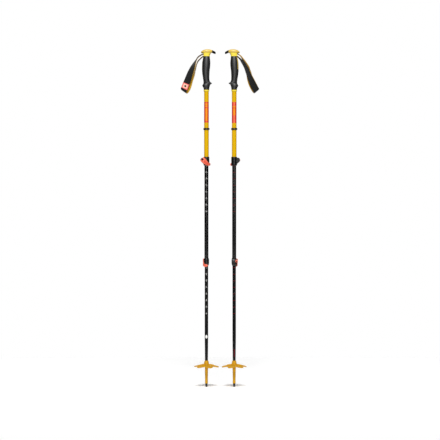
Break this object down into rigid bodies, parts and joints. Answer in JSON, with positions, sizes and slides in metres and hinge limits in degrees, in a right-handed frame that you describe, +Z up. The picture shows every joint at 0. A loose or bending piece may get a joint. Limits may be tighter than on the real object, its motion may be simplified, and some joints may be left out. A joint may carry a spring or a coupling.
{
  "type": "telescopic trekking pole pair",
  "caption": "Pair of three-section telescopic hiking and ski-touring poles with flip-lever locks, long grips, wrist straps and snow baskets.",
  "frame": {"origin": "middle of the left grip, on the left pole's axis, where a hand holds it", "axes": "+Z up along the poles, +X from the left pole to the right pole, +Y away from the viewer; the left cap's beak points to +X"},
  "size_m": [0.3013, 0.086, 1.2899],
  "materials": {
    "yellow_paint": "gloss yellow coating on aluminium tube",
    "yellow_plastic": "moulded, semi-gloss",
    "black_plastic": "moulded, satin",
    "grip_rubber": "soft foam rubber, matt",
    "black_paint": "anodised black aluminium tube",
    "coral_plastic": "moulded, semi-gloss",
    "webbing": "woven webbing",
    "lining": "soft brushed lining",
    "patch": "stitched soft patch",
    "steel": "machined"
  },
  "bodies": {
    "left_upper": {"left_cap": "yellow_plastic", "left_cap_beak": "black_plastic", "left_cap_screw": "steel", "left_head_plug": "yellow_plastic", "left_strap_pin": "steel", "left_strap_anchor": "webbing", "left_grip": "grip_rubber", "left_grip_spine": "yellow_plastic", "left_grip_collar": "yellow_plastic", "left_upper_shaft": "yellow_paint", "left_choke_ring": "black_plastic", "left_upper_clamp": "black_plastic", "left_upper_tension_screw": "steel", "left_upper_cam_pin": "steel"},
    "left_upper_lever_body": {"left_upper_lever": "coral_plastic"},
    "left_middle": {"left_middle_shaft": "black_paint", "left_middle_bushing": "black_plastic", "left_lower_clamp": "black_plastic", "left_lower_tension_screw": "steel", "left_lower_cam_pin": "steel"},
    "left_lower_lever_body": {"left_lower_lever": "coral_plastic"},
    "left_lower": {"left_lower_shaft": "black_paint", "left_lower_bushing": "black_plastic", "left_tip_ferrule": "yellow_plastic", "left_tip_cup": "black_plastic", "left_carbide_tip": "steel", "left_basket": "yellow_plastic"},
    "left_strap_body": {"left_strap": "webbing", "left_strap_lining": "lining", "left_strap_patch": "patch"},
    "right_upper": {"right_cap": "yellow_plastic", "right_cap_beak": "black_plastic", "right_cap_screw": "steel", "right_head_plug": "yellow_plastic", "right_strap_pin": "steel", "right_strap_anchor": "webbing", "right_grip": "grip_rubber", "right_grip_spine": "yellow_plastic", "right_grip_collar": "yellow_plastic", "right_upper_shaft": "yellow_paint", "right_choke_ring": "black_plastic", "right_upper_clamp": "black_plastic", "right_upper_tension_screw": "steel", "right_upper_cam_pin": "steel"},
    "right_upper_lever_body": {"right_upper_lever": "coral_plastic"},
    "right_middle": {"right_middle_shaft": "black_paint", "right_middle_bushing": "black_plastic", "right_lower_clamp": "black_plastic", "right_lower_tension_screw": "steel", "right_lower_cam_pin": "steel"},
    "right_lower_lever_body": {"right_lower_lever": "coral_plastic"},
    "right_lower": {"right_lower_shaft": "black_paint", "right_lower_bushing": "black_plastic", "right_tip_ferrule": "yellow_plastic", "right_tip_cup": "black_plastic", "right_carbide_tip": "steel", "right_basket": "yellow_plastic"},
    "right_strap_body": {"right_strap": "webbing", "right_strap_lining": "lining", "right_strap_patch": "patch"}
  },
  "joints": [
    {"name": "pole_spacing_slide", "type": "slide", "parent": "left_upper", "child": "right_upper", "axis": [1, 0, 0], "range_m": [0, 0.3]},
    {"name": "left_middle_slide", "type": "slide", "parent": "left_upper", "child": "left_middle", "axis": [0, 0, -1], "range_m": [-0.275, 0.05]},
    {"name": "left_lower_slide", "type": "slide", "parent": "left_middle", "child": "left_lower", "axis": [0, 0, -1], "range_m": [-0.355, 0.05]},
    {"name": "left_upper_lever_hinge", "type": "hinge", "parent": "left_upper", "child": "left_upper_lever_body", "pos_m": [-0.01545, -0.0095, -0.33064], "axis": [-0.6947, 0, -0.7193], "range_deg": [0, 100]},
    {"name": "left_lower_lever_hinge", "type": "hinge", "parent": "left_middle", "child": "left_lower_lever_body", "pos_m": [-0.00855, 0.0139, -0.71547], "axis": [0, 0.6947, -0.7193], "range_deg": [0, 100]},
    {"name": "left_strap_swing", "type": "hinge", "parent": "left_upper", "child": "left_strap_body", "pos_m": [-0.0225, 0, 0.0655], "axis": [0, 1, 0], "range_deg": [-8, 60]},
    {"name": "right_middle_slide", "type": "slide", "parent": "right_upper", "child": "right_middle", "axis": [0, 0, -1], "range_m": [-0.275, 0.05]},
    {"name": "right_lower_slide", "type": "slide", "parent": "right_middle", "child": "right_lower", "axis": [0, 0, -1], "range_m": [-0.355, 0.05]},
    {"name": "right_upper_lever_hinge", "type": "hinge", "parent": "right_upper", "child": "right_upper_lever_body", "pos_m": [0.12145, 0.0095, -0.33064], "axis": [0.6947, 0, -0.7193], "range_deg": [0, 100]},
    {"name": "right_lower_lever_hinge", "type": "hinge", "parent": "right_middle", "child": "right_lower_lever_body", "pos_m": [0.11455, -0.0139, -0.71547], "axis": [0, -0.6947, -0.7193], "range_deg": [0, 100]},
    {"name": "right_strap_swing", "type": "hinge", "parent": "right_upper", "child": "right_strap_body", "pos_m": [0.1285, 0, 0.0655], "axis": [0, -1, 0], "range_deg": [-5, 60]}
  ]
}
